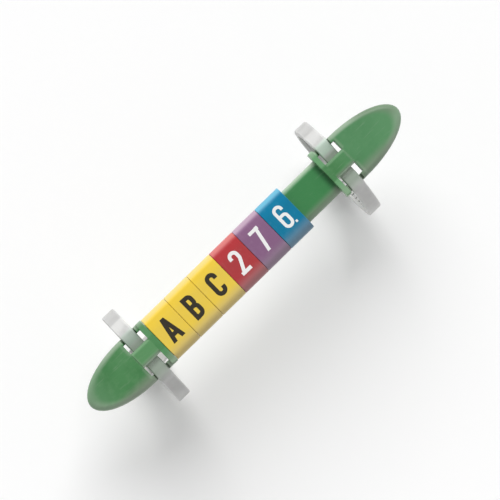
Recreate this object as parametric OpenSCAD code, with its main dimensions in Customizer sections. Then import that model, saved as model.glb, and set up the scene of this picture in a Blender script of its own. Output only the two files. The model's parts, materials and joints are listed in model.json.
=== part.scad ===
// Cable marker: a moulded carrier strip with a row of clip-on character
// sleeves, held on a round cable by two ties threaded under its bridges.
// The cable's axis is X, the reading face looks along +Z, and the origin
// lies on the cable's axis midway between the two ties' windows.

/* [Cable] */
// Diameter of the cable that the ties close round
cable_d = 16.5; // [14:0.5:22]

/* [Carrier ends] */
// Width of the two leaf-shaped ends
end_w = 8.9; // [8.3:0.1:10]
// Length of the rounded nose on the left end
left_nose = 10.3; // [6:0.1:12]
// Straight length between the left nose and its window
left_flat = 0.25; // [0.1:0.05:5]
// Length of the pointed nose on the right end
right_nose = 11.1; // [6:0.1:14]
// Straight length between the right nose and its window
right_flat = 0.15; // [0.1:0.05:5]
// Radius of the ends' upper edges
end_edge_r = 0.9; // [0.3:0.05:1.1]
// How far the tips lie below the middle of the ends
nose_drop = 0.8; // [0:0.05:1]
// How far the ends lie below the bridges and the walls
end_drop = 0.3; // [0.1:0.05:0.6]
// Tilt of the two flats under the carrier that sit on the cable, in degrees
saddle_tilt = 10; // [4:1:14]

/* [Windows and bridges] */
// Length of each tie window along the strip
window_len = 3.8; // [3.4:0.05:5]
// Width of each of the two slots in a window
slot_w = 1.85; // [1.6:0.05:2.1]
// Width of the bridge that holds the tie down
bridge_w = 3.05; // [2:0.05:3.2]
// Radius of the bridge's upper edges
bridge_edge_r = 0.6; // [0.1:0.05:0.8]
// Height of the rims beside the slots above the top of the cable
rim_rise = 0.45; // [0.2:0.05:0.5]
// Room beside the strap between the window's cheeks, which stand as high as the ends
cheek_play = 0.25; // [0.2:0.01:0.3]
// How far the tongue runs on from the bridge over the leaf
tongue_len = 2; // [1:0.1:4]
// Height of the tongue above the leaf
tongue_h = 0.15; // [0.05:0.05:0.3]

/* [Strip] */
// Width of the strip that the sleeves ride on
strip_w = 6.8; // [6:0.1:7.2]
// Thickness of the strip
strip_t = 1.1; // [0.8:0.05:1.5]
// Radius of the strip's shoulders
strip_r = 1.0; // [0.2:0.05:1.2]
// Bare length of strip left beyond the row of sleeves
free_run = 7.3; // [2:0.1:20]
// Thickness of the wall between the left window and the sleeves
neck_t = 1.1; // [0.7:0.05:2]
// Thickness of the stop wall at the right window
stop_t = 0.9; // [0.6:0.05:2]
// How far each ear of the stop wall stands out past the leaf
ear = 0.25; // [0:0.05:0.6]

/* [Sleeves] */
// Number of character sleeves
marker_count = 6; // [1:1:8]
// Length of one sleeve along the strip
marker_len = 5.1; // [4:0.05:7]
// Gap between neighbouring sleeves
marker_gap = 0.05; // [0.02:0.01:0.2]
// Thickness of a sleeve's face
face_t = 0.8; // [0.5:0.05:1.2]
// Thickness of a sleeve's side walls
side_t = 0.87; // [0.6:0.01:1.2]
// Thickness of the lips that grip under the strip
lip_t = 0.65; // [0.4:0.05:0.9]
// How far each lip reaches in under the strip
lip_reach = 1.3; // [0.6:0.05:1.6]
// How far the lips hang below the top of the cable
lip_sink = 0.1; // [0:0.02:0.12]
// Radius of a sleeve's shoulders
shoulder_r = 1.3; // [0.5:0.05:1.5]
// Radius of a sleeve's lower corners
foot_r = 0.4; // [0.1:0.05:0.5]
// Clearance between a sleeve and the strip above and below
slide_fit = 0.05; // [0.03:0.01:0.1]
// Clearance between a sleeve and the strip at each side
side_fit = 0.1; // [0.05:0.01:0.2]
// How far the sleeves' faces stand above the bridges and the walls beside them
face_rise = 0.05; // [0:0.05:0.4]

/* [Ties] */
// Width of the tie's strap
tie_w = 2.5; // [2.2:0.05:2.8]
// Thickness of the strap
tie_t = 1.1; // [0.9:0.05:1.2]
// Width of the smooth rail along each edge of the strap's inner face
rail_w = 0.45; // [0.3:0.05:0.7]
// Depth of the toothed channel between the rails
channel_depth = 0.35; // [0.25:0.05:0.45]
// Height of the teeth in the channel
tooth_h = 0.27; // [0.15:0.01:0.3]
// Spacing of the teeth
tooth_pitch = 1.0; // [0.8:0.05:1.4]
// Play of the strap under the bridge and through the head
tie_play = 0.08; // [0.04:0.01:0.15]
// Turn of the left tie away from square, in degrees
left_skew = 1; // [0:0.5:3]
// Turn of the right tie away from square, in degrees
right_skew = 2; // [0:0.5:3]
// Distance of the ties from the middle of their windows
tie_shift = 0.15; // [0:0.05:0.3]

/* [Tie heads] */
// Width of the head along the cable
head_w = 4.6; // [4:0.1:5.5]
// Length of the head round the cable
head_len = 5.3; // [4.8:0.1:6.5]
// Height of the head out from the cable
head_h = 3.6; // [3:0.1:4.5]
// Thickness of the wall that the strap bends over
lip_wall_t = 0.95; // [0.7:0.05:1.1]
// Radius of that bend on the strap's outer face
bend_r = 0.6; // [0.5:0.05:0.9]
// Room for the pawl between the strap's teeth and the back of the head
pawl_room = 1.45; // [1.1:0.05:1.8]
// Width of the pawl
pawl_w = 1.5; // [1:0.05:1.55]
// Length of the trimmed tail that stands out of the head
tail_out = 0.9; // [0.3:0.1:6]
// Radius of the head's outer edges
head_edge_r = 0.5; // [0.1:0.05:0.8]

/* [Hidden] */
marker_names = [for (i = [1 : marker_count]) str("marker_", i)];
$fn = 96;
carrier_green = "#4f8a5b";
tie_white = "#e4e4dc";
marker_colours = ["#f0c93f", "#f0c93f", "#f0c93f", "#c2313f", "#8d5a97", "#1b84ae"];
// Gap between the carrier's flats and the cable, and between a bent strap and what it passes
seat_gap = 0.05;
strap_gap = 0.02;
// Steps in a rounded corner and in half of a nose's outline
corner_steps = 6;
nose_steps = 14;
// Steps in each stretch of strap that lies on the cable
arc_steps = 36;

// Heights above the cable's axis
crown = cable_d / 2;
strip_z = crown + lip_t + slide_fit - lip_sink;
strip_top = strip_z + strip_t;
marker_top = strip_top + slide_fit + face_t;
lip_z = crown - lip_sink;
block_top = marker_top - face_rise;
leaf_top = block_top - end_drop;
rim_top = crown + rim_rise;
bridge_z = crown + strap_gap + tie_t + tie_play;

// Places along the cable
row_len = marker_count * (marker_len + marker_gap);
strip_len = row_len + free_run;
window_pitch = window_len + neck_t + strip_len + stop_t;
window_x = window_pitch / 2;
strip_x0 = -window_x + window_len / 2 + neck_t;
strip_x1 = window_x - window_len / 2 - stop_t;

// Half widths of the carrier
half_end = end_w / 2;
half_bridge = bridge_w / 2;
slot_y = half_bridge + slot_w;
rim_edge_r = 0.3;
wall_edge_r = 0.35;
// Height that always stays square on a bridge's sides
bridge_side = 0.2;

function arc(y, z, r, from, to, n = corner_steps) =
    [for (k = [0 : n]) let (a = from + (to - from) * k / n) [y + r * cos(a), z + r * sin(a)]];

function saddle_z(y) = (crown + seat_gap - abs(y) * sin(saddle_tilt)) / cos(saddle_tilt);

// Draws a section, given in Y and Z, along X
module along_x(x0, x1) {
    translate([x0, 0, 0]) rotate([90, 0, 90]) linear_extrude(height = x1 - x0) children();
}

// Section of an end, a neck or a stop: flats that straddle the cable below, rounded edges above
module end_section(half, top, edge_r) {
    polygon(concat(
        [[0, saddle_z(0)], [half, saddle_z(half)]],
        arc(half - edge_r, top - edge_r, edge_r, 0, 90),
        arc(edge_r - half, top - edge_r, edge_r, 90, 180),
        [[-half, saddle_z(half)]]));
}

// A leaf's nose: rings round a half ellipse, drawn in level by level along the rounded edge
module nose(len) {
    n = 2 * nose_steps;
    turns = [for (i = [0 : n]) -90 + 180 * i / n];
    levels = [for (k = [0 : corner_steps]) 90 * k / corner_steps];
    function top_z(x) = leaf_top - nose_drop * pow(x / len, 2);
    function ring_point(t, level) =
        let (
            inset = end_edge_r * (1 - cos(level)),
            nx = half_end * cos(t),
            ny = len * sin(t),
            size = norm([nx, ny]),
            x = len * cos(t) - inset * nx / size,
            y = half_end * sin(t) - inset * ny / size
        )
        [x, y, top_z(x) - end_edge_r * (1 - sin(level))];
    foot = [for (t = turns) let (y = half_end * sin(t)) [len * cos(t), y, saddle_z(y)]];
    keel = [for (t = turns) if (t < 0) [len * cos(t), 0, saddle_z(0)]];
    rings = [for (level = levels) for (t = turns) ring_point(t, level)];
    points = concat(foot, rings, keel);
    per = n + 1;
    ring_count = corner_steps + 2;
    last = (ring_count - 1) * per;
    first_keel = ring_count * per;
    sides = [for (k = [0 : ring_count - 2]) for (i = [0 : n - 1])
        let (a = k * per + i) each [[a, a + per, a + 1], [a + 1, a + per, a + per + 1]]];
    top = [for (i = [0 : nose_steps - 1])
        i < nose_steps - 1
            ? [last + i, last + n - i, last + n - i - 1, last + i + 1]
            : [last + i, last + n - i, last + i + 1]];
    under = [for (i = [0 : nose_steps - 2]) let (c = first_keel + i) each [
        [i, i + 1, c + 1, c],
        [c, c + 1, n - i - 1, n - i]]];
    tip = [
        [nose_steps - 1, nose_steps, first_keel + nose_steps - 1],
        [first_keel + nose_steps - 1, nose_steps, nose_steps + 1]];
    back = [concat(
        [first_keel],
        [for (k = [0 : ring_count - 1]) n + (k * per)],
        [for (k = [ring_count - 1 : -1 : 0]) k * per])];
    polyhedron(points = points, faces = concat(sides, top, under, tip, back), convexity = 4);
}

// Section of a bridge: square below, where the strap passes, and rounded above
module bridge_section() {
    r = min(bridge_edge_r, block_top - bridge_z - bridge_side);
    polygon(concat(
        [[-half_bridge, bridge_z], [half_bridge, bridge_z]],
        arc(half_bridge - r, block_top - r, r, 0, 90),
        arc(r - half_bridge, block_top - r, r, 90, 180)));
}

// A pair of cheeks beside the strap: what an end has outside the slots
module cheeks(x0, x1) {
    if (x1 > x0)
        along_x(x0, x1) difference() {
            end_section(half_end, leaf_top, end_edge_r);
            translate([-slot_y, 0]) square([2 * slot_y, 2 * leaf_top]);
        }
}

// Outline of the low tongue that runs on from a bridge over the leaf
module tongue_outline(from_x) {
    to_x = from_x + tongue_len;
    r = half_bridge / 3;
    polygon(concat(
        [[from_x, -half_bridge]],
        arc(to_x - r, r - half_bridge, r, -90, 0),
        arc(to_x - r, half_bridge - r, r, 0, 90),
        [[from_x, half_bridge]]));
}

// Rims, cheeks, bridge and tongue of a window that lies to the right of x = 0, with its leaf
// beyond it; the strap crosses the rims between the cheeks, strap_x from the window's middle
module window_frame(inner_x, flat, nose_len, strap_x) {
    outer_x = inner_x + window_len;
    middle_x = inner_x + window_len / 2;
    guide = tie_w / 2 + cheek_play;
    along_x(inner_x, outer_x) rims();
    cheeks(inner_x, middle_x + strap_x - guide);
    cheeks(middle_x + strap_x + guide, outer_x);
    along_x(inner_x, outer_x) bridge_section();
    along_x(outer_x, outer_x + flat) end_section(half_end, leaf_top, end_edge_r);
    translate([outer_x + flat, 0, 0]) nose(nose_len);
    translate([0, 0, leaf_top - end_drop]) linear_extrude(height = end_drop + tongue_h)
        tongue_outline(outer_x);
}

module rims() {
    for (side = [-1, 1])
        polygon([for (p = concat(
            [[slot_y, saddle_z(slot_y)], [half_end, saddle_z(half_end)]],
            arc(half_end - rim_edge_r, rim_top - rim_edge_r, rim_edge_r, 0, 90),
            arc(slot_y + rim_edge_r, rim_top - rim_edge_r, rim_edge_r, 90, 180))) [side * p[0], p[1]]]);
}

module strip_section() {
    r = min(strip_r, strip_t - 0.1);
    half = strip_w / 2;
    polygon(concat(
        [[-half, strip_z], [half, strip_z]],
        arc(half - r, strip_top - r, r, 0, 90),
        arc(r - half, strip_top - r, r, 90, 180)));
}

module carrier() {
    color(carrier_green) {
        window_frame(window_x - window_len / 2, right_flat, right_nose, -tie_shift);
        mirror([1, 0, 0])
            window_frame(window_x - window_len / 2, left_flat, left_nose, tie_shift);
        along_x(strip_x0 - neck_t, strip_x0) end_section(half_end, block_top, wall_edge_r);
        along_x(strip_x1, strip_x1 + stop_t) end_section(half_end + ear, block_top, wall_edge_r);
        along_x(strip_x0, strip_x1) strip_section();
    }
}

// Section of a sleeve: a flat loop round the strip, open below between its two lips
module marker_section() {
    inner = strip_w / 2 + side_fit;
    outer = inner + side_t;
    ceiling = strip_top + slide_fit;
    floor_z = strip_z - slide_fit;
    inner_r = min(strip_r, strip_t - 0.1);
    gap = inner - lip_reach;
    top_r = min(shoulder_r, marker_top - lip_z - foot_r);
    right = concat(
        [[gap, floor_z], [gap, lip_z]],
        arc(outer - foot_r, lip_z + foot_r, foot_r, -90, 0),
        arc(outer - top_r, marker_top - top_r, top_r, 0, 90));
    hollow = concat([[inner, floor_z]], arc(inner - inner_r, ceiling - inner_r, inner_r, 0, 90));
    half = concat([for (i = [len(hollow) - 1 : -1 : 0]) hollow[i]], right);
    polygon(concat(half, [for (i = [len(half) - 1 : -1 : 0]) [-half[i][0], half[i][1]]]));
}

module marker(i) {
    x0 = strip_x0 + marker_gap + (i - 1) * (marker_len + marker_gap);
    color(marker_colours[(i - 1) % len(marker_colours)])
        along_x(x0, x0 + marker_len) marker_section();
}

// Where the strap lies: over the middle of the bridge's tunnel, up to a rim, round its edge and
// straight on to the cable, which it meets this far round from the top
rim_bend = [half_end - rim_edge_r, rim_top - rim_edge_r];
leave_angle = atan2(rim_bend[0], rim_bend[1]) + acos((crown - rim_edge_r) / norm(rim_bend));
half_path = concat(
    [[0.9 * half_bridge, crown], [slot_y - rim_edge_r, rim_top]],
    arc(rim_bend[0], rim_bend[1], rim_edge_r, 90, 90 - leave_angle),
    [crown * [sin(leave_angle), cos(leave_angle)]]);
over_path = concat(
    [for (i = [len(half_path) - 1 : -1 : 0]) half_path[i]],
    [for (p = half_path) [-p[0], p[1]]]);

function unit(v) = v / norm(v);
function right_of(v) = [v[1], -v[0]];

// A point of a path moved outward by d, with mitred corners and radial ends
function moved(path, i, d) =
    i == 0 || i == len(path) - 1
        ? path[i] + d * unit(path[i])
        : let (
            a = right_of(unit(path[i] - path[i - 1])),
            b = right_of(unit(path[i + 1] - path[i]))
        )
        path[i] + d * (a + b) / (1 + a * b);

// The head: the strap comes in over a lip wall, turns outward and passes the pawl
half_head = head_len / 2;
strap_r = crown + tie_t;
passage_y = lip_wall_t - half_head;
tail_y = passage_y + tie_play;
bend_y = tail_y - bend_r;
bend_z = -sqrt(pow(strap_r + bend_r, 2) - pow(bend_y, 2));
bend_turn = atan2(-bend_y, -bend_z);
teeth_y = tail_y + tie_t;
back_y = teeth_y + pawl_room;
root_turn = asin((back_y + 0.1) / crown);
head_z = -crown - head_h;
tail_z = head_z - tail_out;

// One face of the strap from its root to the tail, at a depth below its inner face: the first
// depth is for the stretches that lie on the cable, the second for the rest
function face_line(on_cable, free) = concat(
    arc(0, 0, crown + on_cable, root_turn - 90, 90 - leave_angle, arc_steps),
    [for (i = [0 : len(over_path) - 1]) moved(over_path, i, free)],
    arc(0, 0, crown + on_cable, 90 + leave_angle, 270 - bend_turn, arc_steps),
    arc(bend_y, bend_z, bend_r + tie_t - free, 90 - bend_turn, 0),
    [[teeth_y - free, tail_z]]);

module strap_band(inner, outer) {
    n = len(outer);
    polygon(concat(inner, [for (i = [n - 1 : -1 : 0]) outer[i]]));
}

// One ratchet tooth on the channel's floor, pointing along -X, steep towards -Y
tooth_root = 0.8 * tooth_pitch;
module tooth() {
    half = tooth_root / 2;
    polygon([[0.05, -half], [-tooth_h, 0.1 - half], [-tooth_h, 0.2 - half], [0.05, half]]);
}

module teeth() {
    reach = crown + channel_depth;
    step = tooth_pitch / reach * 180 / PI;
    from = 90 + leave_angle;
    to = 270 - bend_turn;
    for (a = [from + step : step : to - step / 2]) rotate(a) translate([reach, 0]) tooth();
    for (z = [tail_z + tooth_pitch : tooth_pitch : bend_z - tooth_pitch / 2])
        translate([teeth_y - channel_depth, z]) rotate(180) tooth();
}

// A slab across the cable, turned about Z, that a strap's part is cut from
module skew_slab(x0, x1, skew) {
    size = 4 * strap_r;
    rotate([0, 0, -skew]) translate([x0, -size / 2, -size / 2]) cube([x1 - x0, size, size]);
}

module strap(skew) {
    half = tie_w / 2;
    reach = half + 1;
    inner = half - rail_w;
    outer_face = face_line(tie_t, tie_t);
    intersection() {
        along_x(-reach, reach) difference() {
            strap_band(face_line(-0.1, strap_gap), outer_face);
            circle(r = crown);
        }
        union() {
            skew_slab(-half, -inner, skew);
            skew_slab(inner, half, skew);
        }
    }
    intersection() {
        along_x(-reach, reach) {
            strap_band(face_line(channel_depth, channel_depth), outer_face);
            teeth();
        }
        skew_slab(-inner, inner, skew);
    }
}

// Side outline of the head, cut off flat just clear of the cable
module head_outline() {
    top = -crown - strap_gap;
    r = head_edge_r;
    polygon(concat(
        [[half_head, top], [-half_head, top]],
        arc(r - half_head, head_z + r, r, 180, 270),
        arc(half_head - r, head_z + r, r, 270, 360)));
}

module lip_wall() {
    r = bend_r - tie_play;
    intersection() {
        head_outline();
        polygon(concat(
            [[-half_head, head_z], [passage_y, head_z]],
            arc(bend_y, bend_z, r, 0, 180),
            [[-half_head, bend_z]]));
    }
}

// The pawl: a tongue from the back of the head whose two teeth sit over teeth of the tail
module pawl() {
    hinge_z = -crown - 0.6;
    floor_y = teeth_y - channel_depth;
    tip_y = floor_y + 0.1;
    valley_y = floor_y + tooth_h + 0.15;
    caught = ceil((tail_out + 0.3 - tooth_root / 2) / tooth_pitch);
    tip_z = tail_z + caught * tooth_pitch + tooth_root / 2 + 0.04;
    polygon([
        [back_y + 0.1, hinge_z],
        [teeth_y + 0.45, hinge_z - 0.5],
        [valley_y, tip_z + tooth_pitch + 0.6],
        [tip_y, tip_z + tooth_pitch],
        [valley_y, tip_z + tooth_pitch],
        [tip_y, tip_z],
        [teeth_y + 0.5, tip_z],
        [back_y - 0.35, hinge_z - 1.3],
        [back_y + 0.1, hinge_z - 1.1]]);
}

module head() {
    half = head_w / 2;
    passage = tie_w / 2 + tie_play;
    for (side = [-1, 1])
        along_x(min(side * half, side * passage), max(side * half, side * passage)) head_outline();
    along_x(-half, half) lip_wall();
    along_x(-half, half) intersection() {
        head_outline();
        translate([back_y, head_z]) square([half_head, head_h]);
    }
    along_x(-pawl_w / 2, pawl_w / 2) pawl();
}

module tie(x, skew) {
    color(tie_white) translate([x, 0, 0]) {
        strap(skew);
        head();
    }
}

carrier();
for (i = [1 : marker_count])
    marker(i);
tie(-window_x - tie_shift, left_skew);  // tie_left
tie(window_x - tie_shift, right_skew);  // tie_right
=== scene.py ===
# Dresses the cable marker: a green carrier strip, six character sleeves and two nylon ties
import json
import math

import bmesh
import bpy
from mathutils import Matrix, Vector


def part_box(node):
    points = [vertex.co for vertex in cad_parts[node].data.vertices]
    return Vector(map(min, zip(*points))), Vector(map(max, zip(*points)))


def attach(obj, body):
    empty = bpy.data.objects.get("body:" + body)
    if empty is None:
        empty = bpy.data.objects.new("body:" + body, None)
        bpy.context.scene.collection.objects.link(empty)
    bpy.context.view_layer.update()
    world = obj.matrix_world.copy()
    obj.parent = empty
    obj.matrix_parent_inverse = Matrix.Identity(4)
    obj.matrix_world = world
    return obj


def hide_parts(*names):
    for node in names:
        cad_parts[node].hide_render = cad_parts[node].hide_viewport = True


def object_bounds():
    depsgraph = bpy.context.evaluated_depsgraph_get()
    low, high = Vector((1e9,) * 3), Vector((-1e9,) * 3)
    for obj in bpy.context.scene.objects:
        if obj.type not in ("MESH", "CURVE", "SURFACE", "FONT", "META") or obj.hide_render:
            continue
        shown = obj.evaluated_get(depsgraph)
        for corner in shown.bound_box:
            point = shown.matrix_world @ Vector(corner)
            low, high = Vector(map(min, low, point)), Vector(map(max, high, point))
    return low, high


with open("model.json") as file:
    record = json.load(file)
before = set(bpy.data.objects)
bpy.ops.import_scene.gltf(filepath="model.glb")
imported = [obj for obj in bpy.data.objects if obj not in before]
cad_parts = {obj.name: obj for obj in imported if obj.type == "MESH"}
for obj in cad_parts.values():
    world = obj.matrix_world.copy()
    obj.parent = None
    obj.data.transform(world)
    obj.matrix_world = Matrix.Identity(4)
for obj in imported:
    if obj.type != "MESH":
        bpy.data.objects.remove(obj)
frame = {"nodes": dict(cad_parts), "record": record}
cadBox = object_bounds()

# Shapes are drawn in millimetres and set down in metres
toMetres = 0.001
clampRadius = frame["record"]["mounts"][0]["dims"]["r_mm"]
slots = {part["node"]: part["material_slot"] for part in frame["record"]["subparts"]}


def boxOf(node):  # a node's lowest and highest corners
    low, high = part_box(node)
    return Vector(low) / toMetres, Vector(high) / toMetres


# Node trees

class Wire:  # one output socket, so that arithmetic on it adds Math nodes
    def __init__(self, net, socket):
        self.net = net
        self.socket = socket

    def __add__(self, other):
        return self.net.maths("ADD", self, other)

    def __radd__(self, other):
        return self.net.maths("ADD", other, self)

    def __sub__(self, other):
        return self.net.maths("SUBTRACT", self, other)

    def __rsub__(self, other):
        return self.net.maths("SUBTRACT", other, self)

    def __mul__(self, other):
        return self.net.maths("MULTIPLY", self, other)

    def __rmul__(self, other):
        return self.net.maths("MULTIPLY", other, self)

    def __truediv__(self, other):
        return self.net.maths("DIVIDE", self, other)

    def __pow__(self, other):
        return self.net.maths("POWER", self, other)

    def __abs__(self):
        return self.net.maths("ABSOLUTE", self)


class Net:  # a node tree, and the one way that nodes are added to it
    def __init__(self, tree):
        self.tree = tree

    def add(self, kind, settings=None, values=None, output=0):
        node = self.tree.nodes.new(kind)
        for name, value in (settings or {}).items():
            setattr(node, name, value)
        for key, value in (values or {}).items():
            if isinstance(value, Wire):
                self.tree.links.new(value.socket, node.inputs[key])
            else:
                node.inputs[key].default_value = value
        return Wire(self, node.outputs[output] if node.outputs else None)

    def apart(self, vector):  # its X, Y and Z
        outputs = self.add("ShaderNodeSeparateXYZ", None, {0: vector}).socket.node.outputs
        return [Wire(self, socket) for socket in outputs]

    def together(self, **parts):  # a vector from its X, Y and Z, where one that isn't given is 0
        return self.add("ShaderNodeCombineXYZ", None, parts)

    def maths(self, operation, *values):
        return self.add("ShaderNodeMath", {"operation": operation}, dict(enumerate(values)))

    def ramp(self, value, start, end):  # goes smoothly from 0 at the start to 1 at the end
        values = {0: value, 1: start, 2: end}
        return self.add("ShaderNodeMapRange", {"interpolation_type": "SMOOTHSTEP"}, values)

    def band(self, value, rise, fall):  # 1 between two ramps and 0 outside them
        return self.ramp(value, *rise) * self.ramp(value, *fall)

    def between(self, share, first, second):  # a number that goes from first to second
        return first + (second - first) * share

    def blend(self, share, first, second):  # mixes two colours, which are sockets 6 and 7
        return self.add("ShaderNodeMix", {"data_type": "RGBA"}, {0: share, 6: first, 7: second}, 2)

    def layered(self, colour, layers):  # lays colours over one another, each with its share
        for share, over in layers:
            colour = self.blend(share, colour, over)
        return colour


# Finishes

sideChange = (1.0, -1.0)  # between these the finishes, with the light and shade painted into them, go over from the +Y side to the -Y side
noiseMean = 0.5


def startMaterial(name):
    material = bpy.data.materials.new(name)
    material.use_nodes = True
    material.node_tree.nodes.clear()
    return material, Net(material.node_tree)


def millimetres(net):  # the piece's own coordinates
    coordinates = net.add("ShaderNodeTexCoord", output="Object")
    values = {"Vector": coordinates, "Scale": [1 / toMetres] * 3}
    return net.add("ShaderNodeMapping", {"vector_type": "POINT"}, values)


def noise(net, place, size, detail, stretch=(1, 1, 1), turn=0.0):  # size is one blotch's, in mm
    values = {"Vector": place, "Scale": [part / size for part in stretch], "Rotation": [0, 0, turn]}
    turned = net.add("ShaderNodeMapping", {"vector_type": "POINT"}, values)
    return net.add("ShaderNodeTexNoise", None, {"Vector": turned, "Scale": 1.0, "Detail": detail})


def noises(net, place, look, *names):  # the look's own noises, by name
    return [noise(net, place, *look[name]) for name in names]


def weighted(weights, *values):  # the sum of the values, each times its weight
    return sum(weight * value for weight, value in zip(weights, values))


def finishMaterial(net, look, colour, roughness, height):  # the look's bump is its depth in mm
    values = {"Strength": 1.0, "Distance": look["bump"] * toMetres, "Height": height}
    bump = net.add("ShaderNodeBump", None, values)
    values = {"Base Color": colour, "Roughness": roughness, "Normal": bump, **look["shader"]}
    shader = net.add("ShaderNodeBsdfPrincipled", None, values)
    net.add("ShaderNodeOutputMaterial", None, {"Surface": shader})


# Green moulding. Places are in mm along the marker (X) or across it (Y), and where a value has
# one number for each end, the rounded end's comes first and the pointed end's second

greenLook = {
    "cloud": (6.0, 3.0),  # noises: the size of a blotch, detail, stretch and turn
    "mottle": (0.9, 3.0),
    "grain": (0.09, 2.0),
    "scuff": (1.0, 2.0, (0.25, 3.0, 1.0), 0.35),
    "body": (0.071, 0.228, 0.082, 1),
    "deep": (0.051, 0.191, 0.062, 1),
    "deepFrom": (0.3, 0.7),  # of the cloud noise
    "pale": (0.096, 0.249, 0.101, 1),
    "paleFrom": (0.45, 0.75),  # of the mottle noise
    "paleShare": 0.45,
    "bright": (0.088, 0.250, 0.112, 1),  # the pointed end is a little brighter
    "brightFrom": (21.0, 25.0),
    "brightShare": 0.55,
    "tip": (0.160, 0.320, 0.170, 1),  # painted light towards both tips
    "tipFrom": (28.3, 32.6),
    "tipShare": (0.40, 0.08),  # at each end
    "crown": (0.103, 0.271, 0.110, 1),  # the bridges' tops
    "crownShare": (0.75, 0.05),  # at each end
    "strip": (0.040, 0.205, 0.066, 1),
    "stripShare": 0.8,
    "corner": (0.012, 0.080, 0.024, 1),  # painted shade on the strip in the corner by the stop wall
    "cornerFrom": (17.7, 18.8),
    "cornerShare": 0.75,
    "marksFrom": (0.60, 0.78),  # of the scuff noise
    "marksShare": (0.14, 0.06),  # off the strip and on it
    "dusty": (0.270, 0.260, 0.235, 1),  # painted sheen, greyer towards the -Y side
    "dustFrom": (-1.9, -1.5),  # off the strip and on it
    "dustFull": (-3.8, -3.0),
    "dustShare": (0.50, 0.52),
    "faded": (0.375, 0.425, 0.352, 1),  # the scuffs' worn tone, also used for the painted highlight and sheen on the edges
    # the strip's tone of the painted edge highlight and sheen
    "stripFaded": (0.385, 0.500, 0.370, 1),
    "noseFaded": (0.290, 0.200, 0.230, 1),  # painted edge highlight at the pointed end's +Y side
    "noseFrom": (27.0, 31.0),
    # The rims carry painted highlight on the +Y side and painted sheen on the -Y side
    "rimFrom": (0.77, 0.94),  # share of the way out to a leaf's edge
    "leafRim": ((0.53, 0.34), (0.57, 0.08)),  # at each end: the +Y side's share, then the -Y side's
    "noseRim": ((0.26, 0.42), (0.30, 0.40)),
    "stripRim": (2.55, 3.25),
    "stripRimShare": (0.90, 0.25),  # at the +Y side and at the -Y side
    "besideFrom": (1.3, 1.7),  # within these a point is in line with the bridges
    "lip": ((23.85, 24.15), (24.6, 24.15)),  # the pale edges beside the windows
    "lipShare": (0.14, 0.22),  # in line with the bridges and beside them
    "lipShift": 0.32,  # how much closer to the middle they lie in line with the bridges
    "wall": (0.30, 0.60, 0.32, 1),  # the two walls across the strip
    "wallAlong": ((18.95, 19.2), (20.25, 20.05)),
    "wallShare": (0.12, 0.32),  # at each end
    "wallMiddle": 0.12,  # what is left of it in line with the bridges
    "bridgeAlong": ((20.05, 20.15), (23.95, 23.85)),
    "bridgeAcross": (2.4, 2.0),
    "bridgeUpper": (0.9, 1.4, 0.20),  # from, to and share of the painted highlight along their +Y edge
    "bridgeLower": (-0.6, -1.45, 0.42),  # and of the painted sheen along the -Y one
    "foot": (0.66, 0.80, 0.64, 1),  # painted light that lifts the shade low on the bridges' -Y sides
    "footFrom": (-1.2, -1.45),
    "footShare": 0.45,
    "roughness": 0.42,
    "roughnessBy": (0.12, 0.10, -0.08),  # mottle, marks and the strip
    "bump": 0.012,
    "bumpBy": (1.0, 0.4, -0.3),  # grain, mottle and marks
    "shader": {"Specular IOR Level": 0.3, "Sheen Weight": 0.12, "Sheen Roughness": 0.35},
}


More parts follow.
